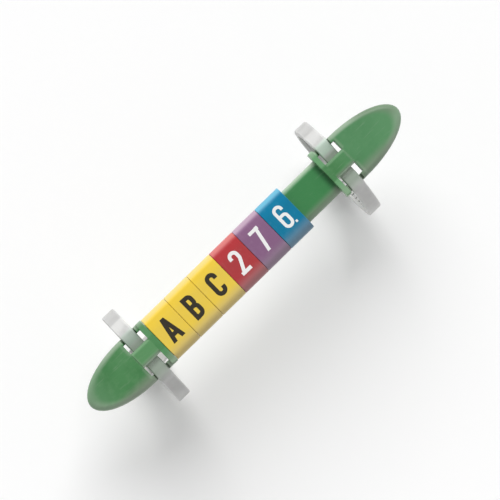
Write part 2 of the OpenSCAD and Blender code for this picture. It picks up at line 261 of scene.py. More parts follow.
def greenMoulding(leftNose, rightNose, halfWidth, halfStrip):  # a nose is its start and length
    look = greenLook
    material, net = startMaterial("green_moulding")
    place = millimetres(net)
    x, y = net.apart(place)[:2]
    along, aside = abs(x), abs(y)
    cloud, mottle, grain, scuff = noises(net, place, look, "cloud", "mottle", "grain", "scuff")
    # How far out a point lies, where 1 is the leaf's edge
    beyondRight = net.maths("MAXIMUM", x - rightNose[0], 0.0) / rightNose[1]
    beyondLeft = net.maths("MAXIMUM", leftNose[0] - x, 0.0) / leftNose[1]
    across = y / halfWidth
    out = net.maths("SQRT", beyondRight ** 2.0 + beyondLeft ** 2.0 + across * across)
    # The parts of the moulding
    low = net.ramp(y, *sideChange)
    right = net.maths("GREATER_THAN", x, 0.0)
    strip = 1.0 - net.ramp(along, *halfStrip)
    nose = net.ramp(along, *look["noseFrom"])
    beside = net.ramp(aside, *look["besideFrom"])
    bridge = net.band(along, *look["bridgeAlong"]) * net.ramp(aside, *look["bridgeAcross"])
    wall = net.band(along, *look["wallAlong"]) * net.between(beside, look["wallMiddle"], 1.0)
    # Its pale edges: the painted highlight and sheen on the rims and the bridges' two sides, and the pale
    # lips of the windows
    leafRim, noseRim = [net.between(right, *[net.between(low, *shares) for shares in look[name]])
                        for name in ("leafRim", "noseRim")]
    rim = net.ramp(out, *look["rimFrom"]) * net.between(nose, leafRim, noseRim)
    stripRim = net.ramp(aside, *look["stripRim"]) * net.between(low, *look["stripRimShare"])
    rim = net.between(strip, rim, stripRim)
    shifted = along + (1.0 - beside) * look["lipShift"]
    lip = net.band(shifted, *look["lip"]) * net.between(beside, *look["lipShare"])
    upper, lower = [net.ramp(y, start, end) * share * bridge
                    for start, end, share in (look["bridgeUpper"], look["bridgeLower"])]
    wearAndSheen = net.maths("MAXIMUM", net.maths("MAXIMUM", rim, lip), net.maths("MAXIMUM", upper, lower))
    faded = net.blend(strip, look["faded"], look["stripFaded"])
    faded = net.blend(nose * right * (1.0 - low), faded, look["noseFaded"])
    marks = net.ramp(scuff, *look["marksFrom"])
    dust = net.ramp(y, net.between(strip, *look["dustFrom"]), net.between(strip, *look["dustFull"]))
    colour = net.layered(look["body"], [
        (net.ramp(cloud, *look["deepFrom"]), look["deep"]),
        (net.ramp(mottle, *look["paleFrom"]) * look["paleShare"], look["pale"]),
        (net.ramp(x, *look["brightFrom"]) * look["brightShare"], look["bright"]),
        # painted light towards both tips
        (net.ramp(along, *look["tipFrom"]) * net.between(right, *look["tipShare"]), look["tip"]),
        (bridge * net.between(right, *look["crownShare"]), look["crown"]),
        (strip * look["stripShare"], look["strip"]),
        # painted shade in the corner by the stop wall
        (net.ramp(x, *look["cornerFrom"]) * strip * look["cornerShare"], look["corner"]),
        (marks * net.between(strip, *look["marksShare"]), look["faded"]),
        # painted sheen towards the -Y side
        (dust * net.between(strip, *look["dustShare"]), look["dusty"]),
        # painted highlight and sheen on the edges, with the lips
        (wearAndSheen, faded),
        (wall * net.between(right, *look["wallShare"]), look["wall"]),
        # painted light that lifts the shade on the bridges' -Y sides
        (net.ramp(y, *look["footFrom"]) * bridge * look["footShare"], look["foot"]),
    ])
    roughness = look["roughness"] + weighted(look["roughnessBy"], mottle - noiseMean, marks, strip)
    finishMaterial(net, look, colour, roughness, weighted(look["bumpBy"], grain, mottle, marks))
    return material


sleeveLook = {  # the face; its upper part with painted light, whose tone also goes into the cloud; and the pale shoulder beyond, a painted highlight, whose tone also goes into the mottle and scuffs
    "yellow_sleeve": ((0.755, 0.545, 0.072, 1), (0.845, 0.592, 0.055, 1), (0.73, 0.585, 0.20, 1)),
    "red_sleeve": ((0.390, 0.042, 0.047, 1), (0.455, 0.038, 0.045, 1), (0.600, 0.175, 0.168, 1)),
    "violet_sleeve": ((0.222, 0.110, 0.209, 1), (0.250, 0.121, 0.231, 1), (0.460, 0.324, 0.422, 1)),
    "blue_sleeve": ((0.001, 0.170, 0.305, 1), (0.001, 0.200, 0.368, 1), (0.135, 0.435, 0.600, 1)),
}

sleeveWear = {
    "cloud": (4.0, 2.0),  # noises, as for the moulding
    "mottle": (0.7, 3.0),
    "grain": (0.07, 2.0),
    "scuff": (0.9, 2.0, (2.6, 0.3, 1.0), 0.2),
    "upperFrom": (1.0, 2.9),  # across the strip: painted light, the face lighter towards the +Y side
    "cloudFrom": (0.35, 0.75),
    "cloudShare": 0.35,
    "mottleFrom": (0.5, 0.8),
    "mottleShare": 0.08,
    "marksFrom": (0.62, 0.80),
    "marksShare": 0.12,
    # painted highlight on the +Y shoulder
    "shoulderFrom": (3.35, 3.87),
    "shoulderShare": 0.92,
    # painted shade and sheen towards the -Y side
    "dust": (0.30, 0.29, 0.30, 1),
    "dustFrom": (-1.65, -3.95),
    "dustShare": 0.42,
    "roughness": 0.34,
    "roughnessBy": (0.14, 0.12),  # mottle and marks
    "bump": 0.006,
    "bumpBy": (1.0, 0.5),  # grain and mottle
    "shader": {"Specular IOR Level": 0.3, "Sheen Weight": 0.05, "Sheen Roughness": 0.35},
}


def sleevePlastic(slot):
    face, upper, pale = sleeveLook[slot]
    wear = sleeveWear
    material, net = startMaterial(slot)
    place = millimetres(net)
    y = net.apart(place)[1]
    cloud, mottle, grain, scuff = noises(net, place, wear, "cloud", "mottle", "grain", "scuff")
    marks = net.ramp(scuff, *wear["marksFrom"])
    colour = net.layered(face, [
        # painted light on the face's upper part
        (net.ramp(y, *wear["upperFrom"]), upper),
        (net.ramp(cloud, *wear["cloudFrom"]) * wear["cloudShare"], upper),
        (net.ramp(mottle, *wear["mottleFrom"]) * wear["mottleShare"], pale),
        (marks * wear["marksShare"], pale),
        # painted highlight on the +Y shoulder
        (net.ramp(y, *wear["shoulderFrom"]) * wear["shoulderShare"], pale),
        # painted shade and sheen towards the -Y side
        (net.ramp(y, *wear["dustFrom"]) * wear["dustShare"], wear["dust"]),
    ])
    roughness = wear["roughness"] + weighted(wear["roughnessBy"], mottle - noiseMean, marks)
    finishMaterial(net, wear, colour, roughness, weighted(wear["bumpBy"], grain, mottle))
    return material


# Nylon. Where a value has two numbers or colours with the note "each tie", the left tie's is first

nylonLook = {
    "cloud": (2.5, 3.0),  # noises, as for the moulding
    "mottle": (0.5, 3.0),
    "grain": (0.06, 2.0),
    "draw": (0.6, 2.0, (3.5, 0.25, 0.25)),  # faint lines along the strap
    "body": (0.455, 0.455, 0.445, 1),
    "milky": (0.53, 0.53, 0.52, 1),
    "milkyFrom": (0.3, 0.7),  # of the cloud noise
    "rail": (0.60, 0.60, 0.59, 1),  # along the strap's edges
    "railFrom": (0.75, 1.2),  # out from the strap's middle
    "railAbove": (-9.4, -8.4),  # not on the head
    "railShare": 0.7,
    "paleShare": 0.4,  # of the rails' tone on the right tie's -Y side, which is paler
    "crossing": (8.0, 8.7),  # the height above which a strap crosses the moulding
    "green": (0.25, 0.31, 0.245, 1),  # what shows through the strap from the moulding under it, with painted shade that darkens it towards the bridge and more so on the -Y side
    "greenShare": (0.69, 0.44),  # each tie, at the +Y side
    "greenLower": 0.90,  # and at the -Y side of both
    "greenTo": (1.8, 4.9),  # fades between these, out from the middle, at the +Y side
    "greenLater": 1.4,  # starts to fade this much further out at the -Y side
    "greenFurther": (1.0, 0.4),  # and ends this much further out there, each tie
    "closeTo": (2.5, 2.05),  # painted shade, greener and darker still close to the bridge, at the +Y side
    "closeShare": (0.12, 0.42),  # each tie
    "glow": ((0.25, 0.50, 0.32, 1), (0.48, 0.74, 0.55, 1)),  # painted light through the +Y rim, each tie
    "glowAcross": ((2.3, 3.0), (5.0, 4.4)),
    "glowShare": (0.25, 0.38),  # each tie
    "light": (0.80, 0.86, 0.78, 1),  # painted light that lifts the shadow close under the bridge's -Y edge
    "lightTo": (2.25, 1.60),
    "lightShare": 0.85,
    "shoulder": (0.64, 0.64, 0.625, 1),  # painted highlight, palest where the strap has come down at the +Y side
    "shoulderAcross": ((5.3, 6.1), (7.35, 6.95)),
    "shoulderAbove": (2.0, 4.0),
    "shoulderShare": (0.50, 0.30),  # each tie
    "flank": (0.30, 0.30, 0.295, 1),  # and painted shade, duller further round
    "flankFrom": (6.95, 7.35),
    "flankAbove": (-4.0, 1.0),
    "flankShare": (0.36, 0.24),  # each tie
    "roughness": 0.36,
    "roughnessBy": (0.16,),  # mottle
    "bump": 0.010,
    "bumpBy": (0.5, 1.0, 0.8),  # grain, mottle and draw
    "shader": {"Subsurface Weight": 0.25, "Subsurface Scale": 0.3 * toMetres,
               "Subsurface Radius": (1.0, 1.0, 0.9), "IOR": 1.5},
}


def nylonFinish(left, right):  # takes each tie's place along the marker and its lean
    look = nylonLook
    material, net = startMaterial("natural_nylon")
    place = millimetres(net)
    x, y, z = net.apart(place)
    aside = abs(y)
    cloud, mottle, grain, draw = noises(net, place, look, "cloud", "mottle", "grain", "draw")
    side = net.maths("GREATER_THAN", x, 0.0)
    low = net.ramp(y, *sideChange)
    crossing = net.ramp(z, *look["crossing"])
    middle, lean = [net.between(side, first, second) for first, second in zip(left, right)]
    rail = net.ramp(abs(x - y * lean - middle), *look["railFrom"]) * net.ramp(z, *look["railAbove"])
    near = look["greenTo"][0] + look["greenLater"] * low
    far = look["greenTo"][1] + low * net.between(side, *look["greenFurther"])
    share = net.between(low, net.between(side, *look["greenShare"]), look["greenLower"])
    green = crossing * (1.0 - net.ramp(aside, near, far)) * share
    closeShade = net.ramp(y, *look["closeTo"]) * (1.0 - low) * net.between(side, *look["closeShare"])
    glow = net.band(y, *look["glowAcross"]) * crossing
    light = net.ramp(aside, *look["lightTo"]) * crossing * low
    shoulder = net.band(y, *look["shoulderAcross"]) * net.ramp(z, *look["shoulderAbove"])
    flank = net.ramp(y, *look["flankFrom"]) * net.ramp(z, *look["flankAbove"])
    colour = net.layered(look["body"], [
        (net.ramp(cloud, *look["milkyFrom"]), look["milky"]),
        (rail * look["railShare"], look["rail"]),
        (side * low * look["paleShare"], look["rail"]),
        # what shows through, darkened with painted shade towards the bridge
        (green + closeShade * crossing, look["green"]),
        # painted light through the +Y rim
        (glow * net.between(side, *look["glowShare"]), net.blend(side, *look["glow"])),
        # painted light under the bridge's -Y edge
        (light * look["lightShare"], look["light"]),
        # painted highlight on the +Y shoulder
        (shoulder * net.between(side, *look["shoulderShare"]), look["shoulder"]),
        # painted shade on the flank
        (flank * net.between(side, *look["flankShare"]), look["flank"]),
    ])
    roughness = look["roughness"] + weighted(look["roughnessBy"], mottle - noiseMean)
    finishMaterial(net, look, colour, roughness, weighted(look["bumpBy"], grain, mottle, draw))
    return material


inkLook = {  # whole, and worn in specks
    "black": ((0.020, 0.015, 0.006, 1), (0.060, 0.043, 0.012, 1)),
    "white": ((0.82, 0.82, 0.81, 1), (0.70, 0.70, 0.70, 1)),
}

inkWear = {
    "speckle": (0.22, 3.0),  # noise, as for the moulding
    "wornFrom": (0.5, 0.8),
    "wornShare": 0.6,
    "roughness": 0.42,
    "roughnessBy": (0.2,),
    "bump": 0.006,
    "shader": {},
}


def inkFinish(name):
    whole, wearAndSheen = inkLook[name]
    wear = inkWear
    material, net = startMaterial(name + "_print")
    speckle = noise(net, millimetres(net), *wear["speckle"])
    colour = net.blend(net.ramp(speckle, *wear["wornFrom"]) * wear["wornShare"], whole, wearAndSheen)
    roughness = wear["roughness"] + weighted(wear["roughnessBy"], speckle - noiseMean)
    finishMaterial(net, wear, colour, roughness, speckle)
    return material


# Shaping

samePoint = 1e-6  # mm
mergeDistance = 1e-4  # mm
sharpAngle = 38  # an edge that turns by more degrees than this is shaded sharp


def arcPoints(y, z, radius, start, end, steps):
    turns = [math.radians(start + (end - start) * step / steps) for step in range(steps + 1)]
    return [(y + radius * math.cos(turn), z + radius * math.sin(turn)) for turn in turns]


def lineMesh(name, lines, closed=False):  # lines of points (x, y, z, corner radius) as edges
    mesh = bpy.data.meshes.new(name)
    points = [point for line in lines for point in line]
    edges = []
    start = 0
    for line in lines:
        count = len(line)
        steps = count if closed or line[0][:3] == line[-1][:3] else count - 1
        edges += [(start + step, start + (step + 1) % count) for step in range(steps)]
        start += count
    mesh.from_pydata([point[:3] for point in points], edges, [])
    radius = mesh.attributes.new("cornerRadius", "FLOAT", "POINT")
    radius.data.foreach_set("value", [point[3] for point in points])
    return mesh


def newObject(name, mesh):
    obj = bpy.data.objects.new(name, mesh)
    bpy.context.scene.collection.objects.link(obj)
    return obj


def applied(obj):  # what the modifiers make of the object, as its own plain mesh
    depsgraph = bpy.context.evaluated_depsgraph_get()
    mesh = bpy.data.meshes.new_from_object(obj.evaluated_get(depsgraph), depsgraph=depsgraph)
    obj.modifiers.clear()
    obj.data = mesh
    return obj


def grown(name, tree, lines, inputs, closed=False):  # runs a node tree on lines of points
    obj = newObject(name, lineMesh(name + "_lines", lines, closed))
    modifier = obj.modifiers.new(name, "NODES")
    modifier.node_group = tree
    for item in tree.interface.items_tree:
        if item.in_out == "INPUT" and item.name in inputs:
            modifier[item.identifier] = inputs[item.name]
    return applied(obj)


def prism(name, outline, half):  # an outline in Y and Z, drawn along X to both sides
    mesh = bmesh.new()
    first, second = [[mesh.verts.new((x, y, z)) for y, z in outline] for x in (-half, half)]
    mesh.faces.new(list(reversed(first)))
    mesh.faces.new(second)
    for here in range(len(outline)):
        after = (here + 1) % len(outline)
        mesh.faces.new((first[here], first[after], second[after], second[here]))
    bmesh.ops.recalc_face_normals(mesh, faces=mesh.faces)
    data = bpy.data.meshes.new(name)
    mesh.to_mesh(data)
    mesh.free()
    return newObject(name, data)


def combined(obj, operation, tool):  # joins the tool to the object or cuts it away, and drops it
    modifier = obj.modifiers.new(operation, "BOOLEAN")
    modifier.operation = operation
    modifier.solver = "MANIFOLD"
    modifier.object = tool
    applied(obj)
    bpy.data.objects.remove(tool)


def softened(obj, width, segments, angle):  # rounds the edges that turn by more than the angle
    modifier = obj.modifiers.new("edges", "BEVEL")
    modifier.width = width
    modifier.segments = segments
    modifier.limit_method = "ANGLE"
    modifier.angle_limit = math.radians(angle)
    modifier.miter_outer = "MITER_ARC"
    modifier.use_clamp_overlap = False
    applied(obj)


def tidied(obj, angle):  # merges doubles, and faces that lie flat within the angle
    mesh = bmesh.new()
    mesh.from_mesh(obj.data)
    bmesh.ops.remove_doubles(mesh, verts=mesh.verts, dist=mergeDistance)
    bmesh.ops.dissolve_limit(mesh, angle_limit=math.radians(angle), verts=mesh.verts, edges=mesh.edges)
    bmesh.ops.recalc_face_normals(mesh, faces=mesh.faces)
    mesh.to_mesh(obj.data)
    mesh.free()


def finished(obj, material, body, node=None):  # in metres, shaded, attached to its body, and with the CAD part that it stands for hidden when one is given
    obj.data.transform(Matrix.Scale(toMetres, 4))
    obj.data.materials.clear()
    obj.data.materials.append(material)
    mesh = bmesh.new()
    mesh.from_mesh(obj.data)
    for face in mesh.faces:
        face.smooth = True
        face.material_index = 0
    for edge in mesh.edges:
        edge.smooth = edge.is_manifold and edge.calc_face_angle(0) < math.radians(sharpAngle)
    mesh.to_mesh(obj.data)
    mesh.free()
    modifier = obj.modifiers.new("flats", "WEIGHTED_NORMAL")
    modifier.keep_sharp = True
    applied(obj)
    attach(obj, body)
    if node:
        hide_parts(node)


def geometryTree(name, inputs):
    tree = bpy.data.node_groups.new(name, "GeometryNodeTree")
    tree.interface.new_socket("Geometry", in_out="INPUT", socket_type="NodeSocketGeometry")
    for title, kind in inputs.items():
        tree.interface.new_socket(title, in_out="INPUT", socket_type="NodeSocket" + kind)
    tree.interface.new_socket("Geometry", in_out="OUTPUT", socket_type="NodeSocketGeometry")
    net = Net(tree)
    ports = net.add("NodeGroupInput").socket.node.outputs
    return tree, net, {port.name: Wire(net, port) for port in ports if port.name}


def roundedCurve(net, lines, steps):  # edges as curves, with each corner rounded by its radius
    curve = net.add("GeometryNodeMeshToCurve", None, {"Mesh": lines})
    radius = net.add("GeometryNodeInputNamedAttribute", {"data_type": "FLOAT"}, {"Name": "cornerRadius"})
    values = {"Curve": curve, "Count": steps, "Radius": radius, "Limit Radius": True}
    return net.add("GeometryNodeFilletCurve", {"mode": "POLY"}, values)


def swept(net, path, section):  # a section drawn along a path, with closed ends
    values = {"Curve": path, "Profile Curve": section, "Fill Caps": True}
    return net.add("GeometryNodeCurveToMesh", None, values)


def booleanOf(net, operation, solver, parts, values=None):
    node = net.add("GeometryNodeMeshBoolean", {"operation": operation, "solver": solver}, values)
    for part in parts:
        net.tree.links.new(part.socket, node.socket.node.inputs["Mesh 2"])
    return node


def closeTree(net, geometry, material):
    whole = net.add("GeometryNodeRealizeInstances", None, {"Geometry": geometry})
    coated = net.add("GeometryNodeSetMaterial", None, {"Geometry": whole, "Material": material})
    net.add("NodeGroupOutput", None, {"Geometry": coated})


# Carrier: the moulding, with every sharp edge broken as a mould leaves it

carrierSizes = {
    "flat": 0.1,  # degrees, within which faces are merged as one
    "edge": 0.07,  # radius of the broken edges
    "edgeSteps": 2,
    "edgeAngle": 40,
    "leftNose": 10.3,  # how far in from each tip the leaf starts to narrow
    "rightNose": 11.1,
    "halfLeaf": 4.45,
    "halfStrip": (18.9, 19.25),  # where the strip's colour gives way to the walls'
    "tongueFrom": 23.9,  # the low step beyond each bridge: its start, height, corners' centres and radius
    "tongueTop": 10.6,
    "tongueCorner": (25.392, 1.017),
    "tongueRadius": 0.508,
    "tongueSlope": 0.45,  # how wide its side falls away at the far end, and at the bridge
    "tongueStart": 0.12,
    "tongueNear": 0.01,  # how closely its points are told from others
}


def easeTongues(mesh):  # the low step beyond each bridge gets a soft, sloping side
    size = carrierSizes
    farX, farY = size["tongueCorner"]
    near = size["tongueNear"]
    for vertex in mesh.vertices:
        x, y, z = vertex.co
        if abs(z - size["tongueTop"]) > near or abs(x) < size["tongueFrom"] - near:
            continue
        centre = Vector((math.copysign(min(abs(x), farX), x), math.copysign(min(abs(y), farY), y), z))
        out = vertex.co - centre
        if abs(x) > size["tongueFrom"] + near:
            vertex.co = centre + out * (1 - size["tongueSlope"] / size["tongueRadius"])
        elif out.length > size["tongueRadius"] - near:
            vertex.co = centre + out * (1 - size["tongueStart"] / size["tongueRadius"])


def makeCarrier():
    size = carrierSizes
    obj = newObject("carrier_moulding", frame["nodes"]["carrier"].data.copy())
    obj.data.transform(Matrix.Scale(1 / toMetres, 4))
    tidied(obj, size["flat"])
    easeTongues(obj.data)
    softened(obj, size["edge"], size["edgeSteps"], size["edgeAngle"])
    low, high = boxOf("carrier")
    left = (low.x + size["leftNose"], size["leftNose"])
    right = (high.x - size["rightNose"], size["rightNose"])
    material = greenMoulding(left, right, size["halfLeaf"], size["halfStrip"])
    finished(obj, material, "carrier", "carrier")
    print("carrier:", len(obj.data.polygons), "faces")


# Sleeves: one section drawn along the strip for each

sleeveSizes = {
    "inside": 3.5,  # half width inside
    "ceiling": 0.8,  # thickness of the face
    "ceilingRadius": 1.0,
    "shoulder": 1.3,  # radius of the outside beside the face
    "foot": 0.4,  # and under the strip
    "lip": 0.65,  # thickness of the lips under the strip
    "lipReach": 1.3,
    "lipEdge": 0.15,
    "cornerSteps": 7,
    "flat": 0.01,  # degrees
    "edge": 0.1,  # rounding of both ends
    "edgeSteps": 3,
    "edgeAngle": 60,
}


def sleeveTree():
    inputs = {"Start": "Float", "Length": "Float", "Corner Steps": "Int", "Material": "Material"}
    tree, net, given = geometryTree("sleeve", inputs)
    section = roundedCurve(net, given["Geometry"], given["Corner Steps"])
    first = net.together(X=given["Start"])
    last = net.together(X=given["Start"] + given["Length"])
    line = net.add("GeometryNodeCurvePrimitiveLine", {"mode": "POINTS"}, {"Start": first, "End": last})
    line = net.add("GeometryNodeSetCurveNormal", {"mode": "FREE"}, {"Curve": line, "Normal": (0, 1, 0)})
    closeTree(net, swept(net, line, section), given["Material"])
    return tree


def sleeveOutline(half, low, high):
    size = sleeveSizes
    gap = size["inside"] - size["lipReach"]
    right = [
        (size["inside"], high - size["ceiling"], size["ceilingRadius"]),
        (size["inside"], low + size["lip"], 0),
        (gap, low + size["lip"], size["lipEdge"]),
        (gap, low, size["lipEdge"]),
        (half, low, size["foot"]),
        (half, high, size["shoulder"]),
    ]
    left = [(-y, z, radius) for y, z, radius in reversed(right)]
    return [(y, z, 0, radius) for y, z, radius in right + left]


def makeSleeves(tree):
    size = sleeveSizes
    nodes = [name for name in sorted(frame["nodes"]) if name.startswith("marker_")]
    materials = {slot: sleevePlastic(slot) for slot in sleeveLook}
    for node in nodes:
        low, high = boxOf(node)
        material = materials[slots[node]]
        inputs = {"Start": low.x, "Length": high.x - low.x, "Corner Steps": size["cornerSteps"],
                  "Material": material}
        outline = sleeveOutline(high.y, low.z, high.z)
        obj = grown(node.replace("marker", "sleeve"), tree, [outline], inputs, closed=True)
        tidied(obj, size["flat"])
        softened(obj, size["edge"], size["edgeSteps"], size["edgeAngle"])
        finished(obj, material, "marker_row", node)
    print("sleeves:", len(nodes))
    return nodes


# Prints: the characters as strokes of a condensed hand, each point with its corner's radius

printSizes = {
    "characters": "ABC276",  # one for each sleeve, from the rounded end
    "height": 4.4,
    "stroke": {"A": 0.74, "B": 0.74, "C": 0.74, "2": 0.61, "7": 0.58, "6": 0.54},
    "thickness": 0.05,
    "proud": 0.012,  # how far the ink stands above the sleeve's face
    "lift": {"7": 0.13, "6": 0.25},  # these are printed higher on their sleeves
    "cornerSteps": 8,
    "window": (10.0, 1.0),  # the strokes are cut to the height in a block this wide and deep
    "flat": 0.1,  # degrees
}

printStrokes = {
    "A": [[(-0.94, -0.3, 0), (0.04, 4.7, 0)], [(0.94, -0.3, 0), (-0.04, 4.7, 0)],
          [(-0.55, 1.22, 0), (0.55, 1.22, 0)]],
    "B": [[(-0.68, -0.1, 0), (-0.68, 4.5, 0)],
          [(-0.68, 4.0, 0), (0.60, 4.0, 0.58), (0.60, 2.28, 0.58), (-0.68, 2.28, 0)],
          [(-0.68, 2.28, 0), (0.67, 2.28, 0.65), (0.67, 0.4, 0.65), (-0.68, 0.4, 0)]],
    "C": [[(0.68, 3.0, 0), (0.68, 4.0, 0.66), (-0.68, 4.0, 0.66), (-0.68, 0.4, 0.66),
           (0.68, 0.4, 0.66), (0.68, 1.4, 0)]],
    "2": [[(-0.67, 3.1, 0), (-0.67, 4.07, 0.65), (0.67, 4.07, 0.65), (0.67, 2.7, 0.5), (-0.62, 0.1, 0)],
          [(-0.98, 0.33, 0), (1.00, 0.33, 0)]],
    "7": [[(-0.97, 4.07, 0), (0.98, 4.07, 0)], [(0.70, 4.7, 0), (-0.26, -0.3, 0)]],
    "6": [[(-0.67, 1.4, 0), (-0.67, 4.07, 0.65), (0.67, 4.07, 0.65), (0.67, 3.2, 0)],
          [(-0.67, 2.45, 0.6), (0.67, 2.45, 0.65), (0.67, 0.33, 0.65), (-0.67, 0.33, 0.65),
           (-0.67, 2.45, 0.6)],
          [(0.94, 0.13, 0), (1.32, 0.13, 0)]],
}


def printTree():
    inputs = {"Stroke": "Float", "Height": "Float", "Thickness": "Float", "Material": "Material"}
    tree, net, given = geometryTree("print", inputs)
    lines = roundedCurve(net, given["Geometry"], printSizes["cornerSteps"])
    values = {"Width": given["Stroke"], "Height": given["Thickness"]}
    nib = net.add("GeometryNodeCurvePrimitiveQuadrilateral", {"mode": "RECTANGLE"}, values)
    wide, deep = printSizes["window"]
    window = net.together(X=wide, Y=given["Height"], Z=deep)
    block = net.add("GeometryNodeMeshCube", None, {"Size": window})
    middle = net.together(Y=given["Height"] * 0.5)
    block = net.add("GeometryNodeTransform", None, {"Geometry": block, "Translation": middle})
    parts = (swept(net, lines, nib), block)
    character = booleanOf(net, "INTERSECT", "EXACT", parts, {"Self Intersection": True})
    closeTree(net, character, given["Material"])
    return tree


def makePrints(tree, nodes):
    size = printSizes
    inks = {name: inkFinish(name) for name in inkLook}
    for node, character in zip(nodes, size["characters"]):
        ink = inks["white" if character.isdigit() else "black"]
        inputs = {"Stroke": size["stroke"][character], "Height": size["height"],
                  "Thickness": size["thickness"], "Material": ink}
        lines = [[(x, y, 0, radius) for x, y, radius in line] for line in printStrokes[character]]
        obj = grown(node.replace("marker", "print"), tree, lines, inputs)
        low, high = boxOf(node)
        top = high.z + size["proud"] - size["thickness"] / 2
        foot = size["lift"].get(character, 0) - size["height"] / 2
        obj.data.transform(Matrix.Translation(((low.x + high.x) / 2, foot, top)))
        tidied(obj, size["flat"])
        finished(obj, ink, "marker_row")
    print("prints:", size["characters"])


# Ties: a strap that follows its closed path, its teeth, and the head that holds its tail

tieSizes = {
    "width": 2.5,
    "thickness": 1.1,
    "outerEdge": 0.26,  # rounding of the strap's outer face
    "innerEdge": 0.10,
    "rail": 0.45,  # width of the smooth rails beside the toothed channel
    "channel": 0.35,
    "channelEdge": 0.06,
    "sectionSteps": 4,
    "lean": {"tie_left": 1.0, "tie_right": 2.0},  # degrees
    "play": 0.08,  # between the strap and the head that it passes through
    "flat": 0.1,  # degrees, for the strap, and for the tie when its head is on
    "wholeFlat": 0.05,
    "rimHalf": 4.45,  # the moulding's rim, which the strap bends over: out from the middle
    "rimRise": 0.45,  # and above the clamp's circle
    "rimRadius": 0.3,
    "tunnelHalf": 1.3725,  # half width of the tunnel under a bridge
    "slotOut": 3.375,  # where the window ends, out from the middle
    "rimSteps": 8,
    "roundSteps": 40,
    "toothHeight": 0.27,
    "toothPitch": 1.0,
    "toothHalf": 0.4,  # half of a tooth's length, as a share of the pitch
    "toothTip": (0.1, 0.2),  # where its flat tip starts and ends, from its steep side
    "toothRoot": 0.05,  # how deep it is set into the channel's floor and sides
    "headWidth": 4.6,
    "headLength": 5.3,
    "headHeight": 3.6,
    "headRadius": 0.5,
    "headSteps": 8,
    "headEdge": 0.18,
    "headEdgeSteps": 3,
    "headEdgeAngle": 60,
    "headGap": 0.02,  # between the head and the clamp's circle
    "intoWall": 0.1,  # how deep the strap's root and the pawl are set into the passage's back wall
    "lipWall": 0.95,  # thickness of the wall that the strap bends over in the head
    "bend": 0.6,  # radius of the strap's turn down into the head
    "bendSteps": 14,
    "lipSteps": 12,
    "cutPast": 1.0,  # how far the passage's cutter reaches past the head
    "tail": 0.9,  # how far it stands out under the head
    "pawlWidth": 1.5,
    "pawlRoom": 1.45,  # from the tail's toothed side to the passage's back wall
    "pawlHinge": 0.6,  # how far under the clamp's circle it starts; the next three go down from there
    "pawlFront": (0.45, 0.5),  # out from the teeth's side, and down
    "pawlBack": (0.35, 1.3),  # out from the back wall, and down
    "pawlUnder": 1.1,
    "pawlSlope": 0.6,  # length of its upper tooth's slope
    "pawlTip": 0.1,  # gap between its teeth and the channel's floor
    "pawlValley": 0.15,  # and between its valleys and the strap's teeth
    "pawlHeel": 0.5,  # how far its lower tooth's underside reaches, out from the teeth's side
    "pawlAbove": 0.3,  # how far inside the head it starts to catch
    "pawlPlay": 0.04,  # between its teeth and the strap's
}


def tiePlaces():  # the head's and the strap's places, worked out from the clamp's radius
    size = tieSizes
    rimY = size["rimHalf"] - size["rimRadius"]
    rimZ = clampRadius + size["rimRise"] - size["rimRadius"]
    leave = math.atan2(rimY, rimZ) + math.acos((clampRadius - size["rimRadius"]) / math.hypot(rimY, rimZ))
    tailY = size["lipWall"] - size["headLength"] / 2 + size["play"]
    turnY = tailY - size["bend"]
    turnZ = -math.sqrt((clampRadius + size["thickness"] + size["bend"]) ** 2 - turnY ** 2)
    teethY = tailY + size["thickness"]
    backY = teethY + size["pawlRoom"]
    headZ = -clampRadius - size["headHeight"]
    return {
        "rimY": rimY,
        "rimZ": rimZ,
        "leave": math.degrees(leave),
        "passageY": tailY - size["play"],
        "turnY": turnY,
        "turnZ": turnZ,
        "turn": math.degrees(math.atan2(-turnY, -turnZ)),
        "teethY": teethY,
        "backY": backY,
        "root": math.degrees(math.asin((backY + size["intoWall"]) / clampRadius)),
        "headZ": headZ,
        "tailZ": headZ - size["tail"],
    }


def strapPath(at):  # the strap's inner face from its root in the head to its tail, in Y and Z
    size = tieSizes
    half = [(size["tunnelHalf"], clampRadius),
            (size["slotOut"] - size["rimRadius"], clampRadius + size["rimRise"])]
    half += arcPoints(at["rimY"], at["rimZ"], size["rimRadius"], 90, 90 - at["leave"], size["rimSteps"])
    path = arcPoints(0, 0, clampRadius, at["root"] - 90, 90 - at["leave"], size["roundSteps"])
    path += reversed(half)
    path += [(-y, z) for y, z in half]
    path += arcPoints(0, 0, clampRadius, 90 + at["leave"], 270 - at["turn"], size["roundSteps"])
    path += arcPoints(at["turnY"], at["turnZ"], size["bend"] + size["thickness"], 90 - at["turn"], 0,
                      size["bendSteps"])
    path.append((at["teethY"], at["tailZ"]))
    distinct = [there for here, there in zip(path, path[1:]) if math.dist(here, there) > samePoint]
    return [path[0]] + distinct


def strapOutline():  # the strap's section: width, and height out from its inner face
    size = tieSizes
    half = size["width"] / 2
    rail = half - size["rail"]
    right = [
        (rail, size["channel"], size["channelEdge"]),
        (rail, 0, size["innerEdge"]),
        (half, 0, size["innerEdge"]),
        (half, size["thickness"], size["outerEdge"]),
    ]
    left = [(-x, y, radius) for x, y, radius in reversed(right)]
    return [(x, y, 0, radius) for x, y, radius in right + left]


def toothBlock():  # one ratchet tooth: along the strap and in from the channel's floor
    size = tieSizes
    half = size["toothHalf"] * size["toothPitch"]
    floor = size["channel"] + size["toothRoot"]
    tip = size["channel"] - size["toothHeight"]
    outline = [(floor, -half)] + [(tip, place - half) for place in size["toothTip"]] + [(floor, half)]
    return prism("tooth", outline, size["width"] / 2 - size["rail"] + size["toothRoot"])


